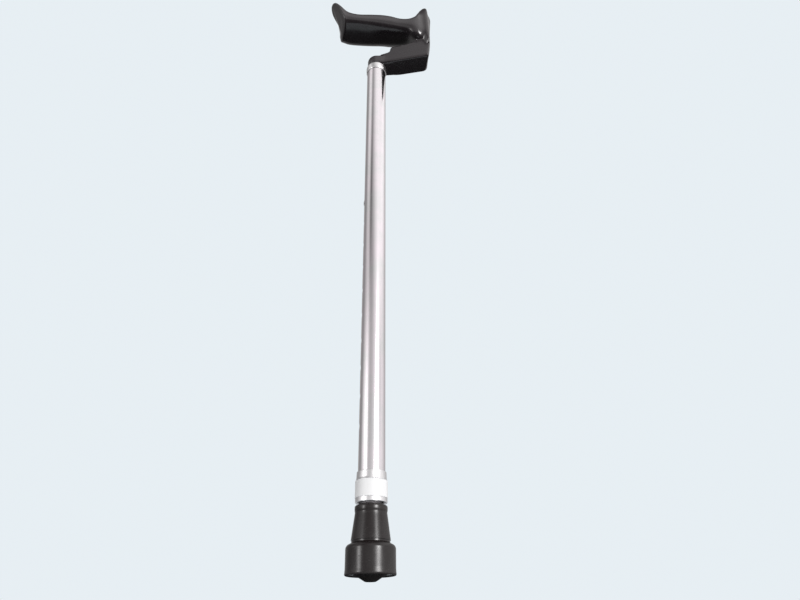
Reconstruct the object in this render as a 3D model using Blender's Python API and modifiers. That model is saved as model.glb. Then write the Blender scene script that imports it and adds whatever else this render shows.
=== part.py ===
"""Height-adjustable aluminium walking stick with a moulded palm grip.

The stick stands upright along Z. Its origin is the centre of the flat end under the
ferrule, and the handle's arm points along +X. Lengths are in metres, apart from the
grip's stations and the turned profiles, which are in millimetres.
"""
from math import copysign, cos, pi, radians, sin

import bmesh
import bpy
from mathutils import Matrix, Vector

MM = 0.001
GAP = 0.0003

# Tubes
OUTER_RADIUS = 0.0111
INNER_RADIUS = 0.0095
TUBE_WALL = 0.0012
OUTER_BORE = OUTER_RADIUS - TUBE_WALL
INNER_BORE = INNER_RADIUS - TUBE_WALL
INNER_BOTTOM = 0.0120
INNER_TOP = 0.3840
OUTER_BOTTOM = 0.0665
ARM_UNDERSIDE = 0.5690
OUTER_TOP = ARM_UNDERSIDE - GAP

# Height holes and snap button
HOLE_COUNT = 10
HOLE_PITCH = 0.0267
TOP_HOLE_Z = 0.3586
BUTTON_RADIUS = 0.0030
HOLE_RADIUS = BUTTON_RADIUS + GAP
BUTTON_PROUD = 0.0006
BUTTON_FLANGE_RADIUS = 0.0039
BUTTON_FLANGE_X = 0.0069
BUTTON_FLANGE_THICKNESS = 0.0010

# Leaf spring of the button
LEAF_THICKNESS = 0.0006
LEAF_WIDTH = 0.0060
LEAF_FRONT_X = -0.0053
LEAF_BACK_X = 0.0071
LEAF_RISE = 0.0090
LEAF_BEND_DROP = 0.0330
LEAF_BACK_DROP = 0.0060

# Handle joint
SPIGOT_RADIUS = OUTER_BORE - GAP
SPIGOT_LENGTH = 0.045
PIN_RADIUS = 0.0015
PIN_HOLE_RADIUS = PIN_RADIUS + GAP
PIN_LENGTH = 0.0218
RING_OUTER_RADIUS = 0.0121
RING_INNER_RADIUS = 0.0113
RING_HEIGHT = 0.0094
PIN_Z = OUTER_TOP - RING_HEIGHT / 2

# Arm and web of the handle
PLATE_YAW = radians(13.3)
PLATE_THICKNESS = 0.0233
PLATE_FRONT = -0.0087
PLATE_LENGTH = 0.0670
PLATE_RECESS = 0.0057
ARM_HEIGHT = 0.0144
ARM_TOP = ARM_UNDERSIDE + ARM_HEIGHT
BOSS_RADIUS = 0.0107
PLATE_ROUNDING = 0.0028
WEB_START = 0.0060
TAPER_END = 0.0300
TAPER_DEPTH = 0.0034

# Stations of the palm grip in millimetres, from the flared lip to the ridge: x, near y,
# far y, bottom z, top z, lean dx/dz, twist, bow of the top, droop of the near side, squareness
GRIP_STATIONS = (
    (-48.4, -27.5, 5.0, 626.0, 659.5, -0.21, 0.011, 6.0, 0.0, 2.4),
    (-46.8, -31.0, 8.5, 621.5, 664.0, -0.21, 0.011, 6.5, 0.0, 2.8),
    (-43.0, -30.5, 10.0, 620.5, 661.5, -0.17, 0.009, 3.5, 0.0, 2.6),
    (-36.0, -29.5, 11.0, 620.5, 648.0, -0.08, 0.004, 1.0, 0.0, 2.4),
    (-24.0, -29.0, 11.0, 620.0, 643.0, 0.0, 0.0, 0.0, 0.0, 2.3),
    (-8.0, -28.5, 11.0, 619.0, 644.5, 0.0, 0.0, 0.0, 0.0, 2.3),
    (6.0, -28.5, 10.5, 618.5, 644.5, 0.0, 0.0, 0.0, 2.0, 2.3),
    (17.0, -28.5, 10.5, 618.0, 642.0, 0.0, 0.0, 0.0, 4.0, 2.3),
    (28.0, -28.5, 9.5, 617.5, 637.0, 0.05, 0.0, 0.0, 6.0, 2.3),
    (38.0, -29.5, 8.5, 616.5, 635.5, 0.08, 0.0, 0.0, 9.0, 2.3),
    (45.5, -30.5, 7.0, 614.0, 640.0, 0.06, 0.0, 0.0, 14.0, 2.3),
    (50.5, -30.0, 6.0, 607.0, 648.0, 0.0, 0.0, 0.0, 9.0, 2.3),
    (54.8, -27.4, 6.0, 598.0, 656.0, -0.06, 0.0, 0.0, 0.0, 2.4),
    (59.4, -27.6, 5.0, 590.0, 664.0, -0.05, 0.0, 0.0, 0.0, 2.6),
    (62.6, -26.2, 3.0, 586.0, 662.5, -0.04, 0.0, 0.0, 0.0, 2.6),
    (64.2, -23.5, 0.0, 590.0, 654.0, -0.04, 0.0, 0.0, 0.0, 2.3),
)
GRIP_STEPS = 2
GRIP_SIDES = 24
NEAR_EDGE_SQUARENESS = 1.0

# Lock nut, its sleeve and its collet
NUT_BOTTOM = 0.0575
NUT_TOP = 0.0802
BAND_BOTTOM = 0.0606
BAND_TOP = 0.0743
SLEEVE_TOP = 0.0745
COLLET_SLOT = 0.0012

# Ferrule
RIM_Z = 0.0040
LIP_Z = 0.0540
WASHER_BOTTOM = 0.0105

ROUND_STEPS = 48
SMOOTH_ANGLE = radians(35)


def clear_scene():
    """Remove every object, so that the script can be run again."""
    for item in list(bpy.data.objects):
        bpy.data.objects.remove(item, do_unlink=True)


def new_collection(name):
    """Return a new collection linked to the scene."""
    collection = bpy.data.collections.new(name)
    bpy.context.scene.collection.children.link(collection)
    return collection


clear_scene()
PARTS = new_collection("walking_stick")
CUTTERS = new_collection("cutters")


def material(name, colour, roughness, metallic=0.0):
    """Return a Principled material."""
    result = bpy.data.materials.new(name)
    result.use_nodes = True
    shader = result.node_tree.nodes["Principled BSDF"]
    shader.inputs["Base Color"].default_value = (*colour, 1.0)
    shader.inputs["Roughness"].default_value = roughness
    shader.inputs["Metallic"].default_value = metallic
    return result


def smooth(mesh):
    """Shade a round mesh smooth, with its corners sharp."""
    mesh.shade_smooth()
    mesh.set_sharp_from_angle(angle=SMOOTH_ANGLE)


def add_part(name, mesh, finish, parent=None):
    """Put a mesh in the parts collection as a named object."""
    part = bpy.data.objects.new(name, mesh)
    PARTS.objects.link(part)
    if not mesh.materials:
        mesh.materials.append(finish)
    part.parent = parent
    return part


def add_cutter(name, mesh):
    """Put a mesh in the cutters collection, drawn as wire and never rendered."""
    cutter = bpy.data.objects.new(name, mesh)
    CUTTERS.objects.link(cutter)
    cutter.hide_render = True
    cutter.display_type = "WIRE"
    return cutter


def add_axis(name, location=(0.0, 0.0, 0.0)):
    """Return an empty on a joint's axis, which carries the pieces that move on it."""
    axis = bpy.data.objects.new(name, None)
    axis.location = location
    PARTS.objects.link(axis)
    return axis


def combine(target, tool, operation):
    """Cut a tool from a part, or join it to the part."""
    change = target.modifiers.new(tool.name, "BOOLEAN")
    change.operation = operation
    change.solver = "EXACT"
    change.object = tool


def profile_mesh(name, points_mm, closed=True):
    """Return the wire mesh of a profile given as (radius, z) in millimetres."""
    form = bmesh.new()
    verts = [form.verts.new((radius * MM, 0.0, z * MM)) for radius, z in points_mm]
    pairs = list(zip(verts, verts[1:]))
    if closed:
        pairs.append((verts[-1], verts[0]))
    for pair in pairs:
        form.edges.new(pair)
    mesh = bpy.data.meshes.new(name)
    form.to_mesh(mesh)
    form.free()
    return mesh


def turn(part, steps=ROUND_STEPS):
    """Turn a profile about Z."""
    screw = part.modifiers.new("turn", "SCREW")
    screw.steps = steps
    screw.render_steps = steps
    screw.use_merge_vertices = True
    screw.merge_threshold = 0.00002
    screw.use_smooth_shade = True
    return part


def turned_part(name, points_mm, finish, parent=None, closed=True, steps=ROUND_STEPS):
    """Return a part turned about Z from its profile."""
    return turn(add_part(name, profile_mesh(name, points_mm, closed), finish, parent), steps)


def rod_mesh(name, radius, length, sides=24):
    """Return a capped cylinder along Z, centred on the origin."""
    form = bmesh.new()
    bmesh.ops.create_cone(form, cap_ends=True, segments=sides, radius1=radius,
                          radius2=radius, depth=length)
    mesh = bpy.data.meshes.new(name)
    form.to_mesh(mesh)
    form.free()
    smooth(mesh)
    return mesh


def flat_outline(name, points, thickness):
    """Return the mesh of a flat outline in XY, thickened both ways along Z."""
    curve = bpy.data.curves.new(name, "CURVE")
    curve.dimensions = "2D"
    curve.fill_mode = "BOTH"
    curve.extrude = thickness / 2
    line = curve.splines.new("POLY")
    line.points.add(len(points) - 1)
    for point, (x, y) in zip(line.points, points):
        point.co = (x, y, 0.0, 1.0)
    line.use_cyclic_u = True
    outline = bpy.data.objects.new(name, curve)
    CUTTERS.objects.link(outline)
    graph = bpy.context.evaluated_depsgraph_get()
    mesh = bpy.data.meshes.new_from_object(outline.evaluated_get(graph))
    bpy.data.objects.remove(outline, do_unlink=True)
    form = bmesh.new()
    form.from_mesh(mesh)
    bmesh.ops.remove_doubles(form, verts=form.verts, dist=0.00002)
    bmesh.ops.recalc_face_normals(form, faces=form.faces)
    form.to_mesh(mesh)
    form.free()
    return mesh


def arc(centre, radius, start, end, count):
    """Return points on an arc, with the angles in degrees."""
    angles = [radians(start + (end - start) * i / (count - 1)) for i in range(count)]
    return [(centre[0] + radius * cos(a), centre[1] + radius * sin(a)) for a in angles]


def tube_profile(radius, bore, bottom, top):
    """Return a plain tube's profile in millimetres."""
    return [(radius / MM, top / MM), (radius / MM, bottom / MM),
            (bore / MM, bottom / MM), (bore / MM, top / MM)]


def inner_tube(finish, parent):
    """The lower tube, with the hole that the button looks out of."""
    part = turned_part("inner_tube", tube_profile(INNER_RADIUS, INNER_BORE, INNER_BOTTOM, INNER_TOP),
                       finish, parent)
    cutter = add_cutter("button_hole", rod_mesh("button_hole", HOLE_RADIUS, OUTER_RADIUS))
    cutter.rotation_euler = (0.0, pi / 2, 0.0)
    cutter.location = (-OUTER_RADIUS, 0.0, TOP_HOLE_Z)
    combine(part, cutter, "DIFFERENCE")
    return part


def outer_tube(finish, parent):
    """The upper tube, with its height holes and the holes for the cross pin."""
    part = turned_part("outer_tube", tube_profile(OUTER_RADIUS, OUTER_BORE, OUTER_BOTTOM, OUTER_TOP),
                       finish, parent)
    hole = rod_mesh("height_hole", HOLE_RADIUS, OUTER_RADIUS)
    for number in range(HOLE_COUNT):
        cutter = add_cutter(f"height_hole_{number}", hole)
        cutter.rotation_euler = (0.0, pi / 2, 0.0)
        cutter.location = (-OUTER_RADIUS, 0.0, TOP_HOLE_Z - number * HOLE_PITCH)
        combine(part, cutter, "DIFFERENCE")
    combine(part, pin_cutter("tube_pin_hole"), "DIFFERENCE")
    return part


def pin_cutter(name):
    """A cutter for the cross pin's hole."""
    cutter = add_cutter(name, rod_mesh(name, PIN_HOLE_RADIUS, 4 * OUTER_RADIUS, 16))
    cutter.rotation_euler = (pi / 2, 0.0, 0.0)
    cutter.location = (0.0, 0.0, PIN_Z)
    return cutter


def handle_cross_pin(finish, parent):
    """The pin through the tube and the handle's spigot, under the trim ring."""
    part = add_part("handle_cross_pin", rod_mesh("handle_cross_pin", PIN_RADIUS, PIN_LENGTH, 16),
                    finish, parent)
    part.rotation_euler = (pi / 2, 0.0, 0.0)
    part.location = (0.0, 0.0, PIN_Z)
    return part


def handle_trim_ring(finish, parent):
    """The bright sleeve over the joint of tube and handle, slightly domed."""
    top = OUTER_TOP / MM
    bottom = (OUTER_TOP - RING_HEIGHT) / MM
    radius = RING_OUTER_RADIUS / MM
    bore = RING_INNER_RADIUS / MM
    profile = [(bore, top), (radius - 0.5, top), (radius - 0.12, top - 0.5), (radius, top - 2.0),
               (radius, bottom + 2.0), (radius - 0.12, bottom + 0.5), (radius - 0.5, bottom),
               (bore, bottom)]
    return turned_part("handle_trim_ring", profile, finish, parent)


def inner_tube_bush(finish, parent):
    """The nylon guide plugged into the lower tube's top."""
    seat = (INNER_TOP + GAP) / MM
    flange = (OUTER_BORE - GAP) / MM
    plug = (INNER_BORE - GAP) / MM
    profile = [(flange - 0.5, seat + 3.0), (flange, seat + 2.5), (flange, seat), (plug, seat),
               (plug, seat - 11.5), (plug - 0.6, seat - 12.0), (5.5, seat - 12.0), (5.5, seat + 3.0)]
    return turned_part("inner_tube_bush", profile, finish, parent)


def snap_button(finish, parent):
    """The round button with a low dome outside and a flange inside the tube."""
    flange = BUTTON_FLANGE_RADIUS / MM
    inner = (BUTTON_FLANGE_X - BUTTON_FLANGE_THICKNESS) / MM
    radius = BUTTON_RADIUS / MM
    dome = (OUTER_RADIUS + BUTTON_PROUD) / MM
    profile = [(0.0, dome), (radius * 0.45, dome - 0.08), (radius * 0.8, dome - 0.35),
               (radius, dome - 0.9), (radius, BUTTON_FLANGE_X / MM), (flange, BUTTON_FLANGE_X / MM),
               (flange, inner), (0.0, inner)]
    part = turned_part("snap_button", profile, finish, parent, closed=False, steps=24)
    part.rotation_euler = (0.0, -pi / 2, 0.0)
    return part


def button_spring(finish, parent):
    """The leaf bent into a V, with one leg behind the button and one on the tube's wall."""
    front = [(LEAF_FRONT_X, LEAF_RISE), (LEAF_FRONT_X, -LEAF_RISE)]
    bend_radius = 0.0022
    bend = arc((0.0, -LEAF_BEND_DROP), bend_radius, 170, 370, 9)
    back = [(LEAF_BACK_X, -LEAF_BACK_DROP), (LEAF_BACK_X, LEAF_RISE)]
    path = [Vector(point) for point in front + bend + back]
    sides = ([], [])
    for index, point in enumerate(path):
        before = path[max(index - 1, 0)]
        after = path[min(index + 1, len(path) - 1)]
        along = (after - before).normalized()
        across = Vector((-along.y, along.x)) * LEAF_THICKNESS / 2
        sides[0].append(point + across)
        sides[1].append(point - across)
    outline = sides[0] + sides[1][::-1]
    mesh = flat_outline("button_spring", [(p.x, p.y) for p in outline], LEAF_WIDTH)
    mesh.transform(Matrix.Rotation(pi / 2, 4, "X"))
    part = add_part("button_spring", mesh, finish, parent)
    part.location = (0.0, 0.0, TOP_HOLE_Z)
    return part


def thread_sleeve(finish, parent):
    """The sleeve on the upper tube's end, which carries the nut."""
    profile = [(11.9, SLEEVE_TOP / MM), (11.9, OUTER_BOTTOM / MM), (11.3, OUTER_BOTTOM / MM),
               (11.3, SLEEVE_TOP / MM)]
    return turned_part("thread_sleeve", profile, finish, parent)


def nut_cone(z_mm):
    """Return the radius of the nut's inside cone at a height, in millimetres."""
    return 10.1 + (z_mm - 58.7) * (12.1 - 10.1) / (63.5 - 58.7)


def lock_collet(finish, parent):
    """The split ring that the nut's cone squeezes onto the lower tube."""
    low = 59.7
    high = 63.5
    clear = 0.35
    profile = [(nut_cone(high) - clear, 66.1), (nut_cone(high) - clear, high),
               (nut_cone(low) - clear, low), (9.8, low), (9.8, 66.1)]
    part = turned_part("lock_collet", profile, finish, parent)
    form = bmesh.new()
    bmesh.ops.create_cube(form, size=1.0)
    bmesh.ops.scale(form, verts=form.verts, vec=(0.006, COLLET_SLOT, 0.012))
    mesh = bpy.data.meshes.new("collet_slot")
    form.to_mesh(mesh)
    form.free()
    cutter = add_cutter("collet_slot", mesh)
    cutter.location = (0.0108, 0.0, 0.063)
    combine(part, cutter, "DIFFERENCE")
    return part


def lock_nut(finish, parent):
    """The turning collar, coned at the top and recessed for its white band."""
    bottom = NUT_BOTTOM / MM
    top = NUT_TOP / MM
    recess = 12.55
    shoulder = arc((12.0, bottom + 0.8), 0.85, 0, -90, 4)
    profile = [(11.65, top), (11.95, top - 0.35), (12.75, BAND_TOP / MM + 0.25),
               (12.65, BAND_TOP / MM), (recess, BAND_TOP / MM), (recess, BAND_BOTTOM / MM),
               (12.85, BAND_BOTTOM / MM)]
    profile += shoulder
    profile += [(10.1, bottom), (10.1, 58.7), (12.1, 63.5), (12.1, 75.3), (11.3, 76.1), (11.3, top)]
    return turned_part("lock_nut", profile, finish, parent)


def nut_grip_band(finish, parent):
    """The white sleeve in the nut's recess."""
    top = BAND_TOP / MM - 0.15
    bottom = BAND_BOTTOM / MM + 0.15
    profile = [(12.9, top), (13.1, top - 0.3), (13.1, bottom + 0.3), (12.9, bottom),
               (12.7, bottom), (12.7, top)]
    return turned_part("nut_grip_band", profile, finish, parent)


def ferrule_outline():
    """Return the ferrule's outer side, top to bottom, in millimetres."""
    rim = RIM_Z / MM
    lip = LIP_Z / MM
    bead = arc((12.2, lip - 2.6), 1.35, 70, -50, 5)
    bead = [(radius, lip - 2.6 + (z - lip + 2.6) * 1.95) for radius, z in bead]
    flare = []
    for step in range(5):
        share = step / 4
        flare.append((13.15 + 2.55 * share ** 1.25, lip - 5.4 - 20.2 * share))
    shoulder = arc((15.2, rim + 15.2), 4.15, 78, 0, 5)
    shoulder = [(radius, rim + 15.2 + (z - rim - 15.2) * 1.25) for radius, z in shoulder]
    side = [(19.3, rim + 3.6), (19.05, rim + 3.2), (19.45, rim + 2.8), (19.6, rim + 1.0),
            (18.9, rim)]
    return bead + flare + shoulder + side


def ferrule(finish, parent):
    """The rubber foot, with a grooved sole and a low boss in its middle."""
    rim = RIM_Z / MM
    sole = [(15.6, rim), (15.0, rim + 1.2), (12.6, rim + 1.2), (12.0, rim), (10.9, rim),
            (4.0, 0.0), (0.0, 0.0)]
    floor = WASHER_BOTTOM / MM - 0.3
    bore = (INNER_RADIUS + GAP) / MM
    lip = LIP_Z / MM
    inside = [(0.0, floor), (bore, floor), (bore, lip - 0.7), (bore + 0.7, lip)]
    profile = ferrule_outline() + sole + inside
    profile.append((12.2, lip))
    return turned_part("ferrule", profile, finish, parent)


def ferrule_washer(finish, parent):
    """The steel disc between the tube's end and the rubber."""
    bottom = WASHER_BOTTOM / MM
    profile = [(9.4, bottom + 1.2), (9.4, bottom), (4.0, bottom), (4.0, bottom + 1.2)]
    return turned_part("ferrule_washer", profile, finish, parent, steps=32)


def smooth_line(points, steps):
    """Return a smooth line through points of any size, with more points between them."""
    result = []
    for index in range(len(points) - 1):
        near = [points[max(index - 1, 0)], points[index], points[index + 1],
                points[min(index + 2, len(points) - 1)]]
        for step in range(steps):
            t = step / steps
            spot = []
            for a, b, c, d in zip(*near):
                curve = 2 * b + (c - a) * t
                curve += (2 * a - 5 * b + 4 * c - d) * t ** 2
                curve += (3 * b - a - 3 * c + d) * t ** 3
                spot.append(curve / 2)
            result.append(spot)
    result.append(list(points[-1]))
    return result


def grip_ring(station, sides):
    """Return the points of one rounded section of the grip, in metres."""
    x, near, far, bottom, top, lean, twist, bow, droop, squareness = station
    half_y = (far - near) / 2
    half_z = (top - bottom) / 2
    points = []
    for side in range(sides):
        angle = 2 * pi * side / sides
        low_near = sin(angle) < 0 and cos(angle) < 0
        power = 2 / (squareness + (NEAR_EDGE_SQUARENESS if low_near else 0.0))
        across = half_y * copysign(abs(cos(angle)) ** power, cos(angle))
        up = half_z * copysign(abs(sin(angle)) ** power, sin(angle))
        share = across / half_y
        shift = lean * up + twist * across * up - bow * (1 - share ** 2) * max(up / half_z, 0.0)
        sag = droop * (0.5 - 0.5 * share) * max(-up / half_z, 0.0)
        place = (x + shift, (near + far) / 2 + across, (bottom + top) / 2 + up - sag)
        points.append(Vector(place) * MM)
    return points


def grip_mesh(sides=GRIP_SIDES):
    """Loft the palm grip through its unlike sections."""
    form = bmesh.new()
    rings = []
    for station in smooth_line(GRIP_STATIONS, GRIP_STEPS):
        rings.append([form.verts.new(point) for point in grip_ring(station, sides)])
    for first, second in zip(rings, rings[1:]):
        for side in range(sides):
            following = (side + 1) % sides
            form.faces.new((first[side], first[following], second[following], second[side]))
    form.faces.new(rings[0][::-1])
    form.faces.new(rings[-1])
    bmesh.ops.recalc_face_normals(form, faces=form.faces)
    mesh = bpy.data.meshes.new("grip")
    form.to_mesh(mesh)
    form.free()
    return mesh


def plate_point(along, across):
    """Return a plan point from its place along the arm and behind the front face."""
    depth = PLATE_FRONT + across
    x = along * cos(PLATE_YAW) + depth * sin(PLATE_YAW)
    y = -along * sin(PLATE_YAW) + depth * cos(PLATE_YAW)
    return (x, y)


def arm_plan():
    """Return the arm's outline seen from above, round the tube and out to its end."""
    boss = arc((0.0, 0.0), BOSS_RADIUS, 90, 270, 16)
    front = [plate_point(0.0118, 0.0), plate_point(PLATE_LENGTH, 0.0)]
    back = [plate_point(PLATE_LENGTH - PLATE_RECESS, PLATE_THICKNESS - 0.0050),
            plate_point(PLATE_LENGTH - PLATE_RECESS - 0.0020, PLATE_THICKNESS - 0.0015),
            plate_point(PLATE_LENGTH - PLATE_RECESS - 0.0060, PLATE_THICKNESS),
            plate_point(TAPER_END, PLATE_THICKNESS), (0.0030, BOSS_RADIUS)]
    return boss + front + back


def rounded_outline(points, reach, steps=4):
    """Return an open outline with its inner corners rounded, each up to a reach."""
    result = [points[0]]
    for before, here, after in zip(points, points[1:], points[2:]):
        corner = Vector(here)
        back = Vector(before) - corner
        ahead = Vector(after) - corner
        first = corner + back.normalized() * min(reach, back.length / 2)
        last = corner + ahead.normalized() * min(reach, ahead.length / 2)
        for step in range(steps):
            t = step / (steps - 1)
            spot = first * (1 - t) ** 2 + corner * 2 * t * (1 - t) + last * t ** 2
            result.append((spot.x, spot.y))
    result.append(points[-1])
    return result


def web_outline():
    """Return the web's outline along the arm and up, from its lower corner at the tube."""
    foot = ARM_UNDERSIDE
    end = [(WEB_START, foot + 0.0040), (0.0200, foot), (PLATE_LENGTH - 0.0008, foot),
           (PLATE_LENGTH + 0.0010, 0.5920), (PLATE_LENGTH + 0.0038, 0.6380),
           (0.0650, 0.6540), (0.0590, 0.6540), (0.0540, 0.6440), (0.0450, 0.6300)]
    slot_end = arc((0.0428, 0.6078), 0.0097, 60, -100, 8)
    gap_side = [slot_end[-1], (0.0314, 0.5958), (0.0226, 0.5962), (0.0190, 0.5950),
                (0.0180, 0.5876), (0.0125, 0.5864), (WEB_START, 0.5852)]
    outline = rounded_outline(end, 0.0060) + slot_end[:-1] + rounded_outline(gap_side, 0.0030)
    return outline


def rounded(part, width, segments=2):
    """Round a part's edges with a Bevel."""
    bevel = part.modifiers.new("rounding", "BEVEL")
    bevel.width = width
    bevel.segments = segments
    bevel.limit_method = "ANGLE"
    bevel.angle_limit = radians(50)


def arm():
    """The flat arm from the tube out to the web."""
    mesh = flat_outline("arm", arm_plan(), ARM_HEIGHT)
    part = add_cutter("arm", mesh)
    part.location = (0.0, 0.0, ARM_UNDERSIDE + ARM_HEIGHT / 2)
    rounded(part, PLATE_ROUNDING)
    return part


def web():
    """The flat web between the arm's end and the palm grip, shorter at the back."""
    mesh = flat_outline("web", web_outline(), PLATE_THICKNESS - 0.0006)
    for vertex in mesh.vertices:
        if vertex.co.z < 0 and vertex.co.x > PLATE_LENGTH / 2:
            vertex.co.x -= PLATE_RECESS
        elif vertex.co.z < 0:
            vertex.co.z += TAPER_DEPTH * max(1.0 - vertex.co.x / TAPER_END, 0.0)
    part = add_cutter("web", mesh)
    part.rotation_euler = (pi / 2, 0.0, -PLATE_YAW)
    middle = plate_point(0.0, PLATE_THICKNESS / 2)
    part.location = (middle[0], middle[1], 0.0)
    rounded(part, PLATE_ROUNDING)
    return part


def spigot():
    """The round stem of the handle that fills the tube's top."""
    top = (ARM_TOP - 0.004) / MM
    under = ARM_UNDERSIDE / MM
    radius = SPIGOT_RADIUS / MM
    end = under - SPIGOT_LENGTH / MM
    profile = [(0.0, top), (radius, top), (radius, end + 1.0), (radius - 1.0, end), (0.0, end)]
    part = add_cutter("spigot", profile_mesh("spigot", profile, closed=False))
    return turn(part, 48)


def handle(finish, parent):
    """The moulded handle: palm grip, web, arm and spigot in one piece."""
    part = add_part("handle", grip_mesh(), finish, parent)
    smooth(part.data)
    combine(part, web(), "UNION")
    combine(part, arm(), "UNION")
    combine(part, spigot(), "UNION")
    combine(part, pin_cutter("spigot_pin_hole"), "DIFFERENCE")
    return part


def build():
    """Build every piece on the axis that it moves on."""
    aluminium = material("polished_aluminium", (0.82, 0.82, 0.84), 0.18, 1.0)
    chrome = material("bright_trim", (0.88, 0.88, 0.90), 0.08, 1.0)
    steel = material("spring_steel", (0.55, 0.56, 0.58), 0.30, 1.0)
    black = material("gloss_black_plastic", (0.020, 0.018, 0.020), 0.22)
    rubber = material("black_rubber", (0.030, 0.028, 0.028), 0.55)
    nylon = material("white_nylon", (0.86, 0.86, 0.84), 0.35)

    lower = add_axis("lower_axis")
    button = add_axis("button_axis", (0.0, 0.0, TOP_HOLE_Z))
    upper = add_axis("upper_axis")
    collet = add_axis("collet_axis")
    nut = add_axis("nut_axis")

    inner_tube(aluminium, lower)
    inner_tube_bush(nylon, lower)
    button_spring(steel, lower)
    ferrule(rubber, lower)
    ferrule_washer(steel, lower)

    snap_button(steel, button)

    outer_tube(aluminium, upper)
    handle(black, upper)
    handle_trim_ring(chrome, upper)
    handle_cross_pin(steel, upper)
    thread_sleeve(aluminium, upper)

    lock_collet(nylon, collet)

    lock_nut(chrome, nut)
    nut_grip_band(nylon, nut)


build()
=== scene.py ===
"""The looks of a height-adjustable aluminium walking stick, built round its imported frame.

Lengths are in metres in the frame's own axes, apart from the turned profiles and the
grip's stations, which are in millimetres.
"""
import logging
from dataclasses import dataclass, field
from enum import Enum
from math import copysign, cos, dist, pi, radians, sin

import bmesh
import bpy
import numpy as np
from mathutils import Matrix, Vector


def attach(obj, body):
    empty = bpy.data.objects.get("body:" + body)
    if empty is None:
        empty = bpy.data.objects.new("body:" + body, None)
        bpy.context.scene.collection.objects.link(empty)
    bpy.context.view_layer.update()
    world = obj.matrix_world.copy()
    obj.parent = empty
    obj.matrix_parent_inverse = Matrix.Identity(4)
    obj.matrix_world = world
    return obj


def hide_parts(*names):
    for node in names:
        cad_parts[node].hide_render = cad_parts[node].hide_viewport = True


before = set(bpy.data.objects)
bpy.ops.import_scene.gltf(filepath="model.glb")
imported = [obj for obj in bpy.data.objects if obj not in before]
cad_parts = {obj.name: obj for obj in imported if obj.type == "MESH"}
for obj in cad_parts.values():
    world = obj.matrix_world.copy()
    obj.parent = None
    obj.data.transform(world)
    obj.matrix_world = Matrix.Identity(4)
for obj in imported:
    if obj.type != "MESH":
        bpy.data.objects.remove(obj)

MM = 0.001
TO_DEGREES = 180 / pi
SHARP_ANGLE = radians(32)
ON_AXIS_MM = 1e-6
Point = tuple[float, float]
Colour = tuple[float, float, float]
Item = bpy.types.Object
Material = bpy.types.Material
Mesh = bpy.types.Mesh
Node = bpy.types.Node
Socket = bpy.types.NodeSocket
Tree = bpy.types.NodeTree
log = logging.getLogger("walking_stick")


class Body(Enum):
    """The bodies that pieces ride on."""

    LOWER = "lower"
    BUTTON = "button"
    UPPER = "upper"
    COLLET = "collet"
    LOCK_NUT = "lock_nut"


class Slot(Enum):
    """The record's material slots."""

    ALUMINIUM = "aluminium"
    BRIGHT_TRIM = "bright_trim"
    SPRING_STEEL = "spring_steel"
    BLACK_PLASTIC = "black_plastic"
    BLACK_RUBBER = "black_rubber"
    WHITE_NYLON = "white_nylon"


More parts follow.
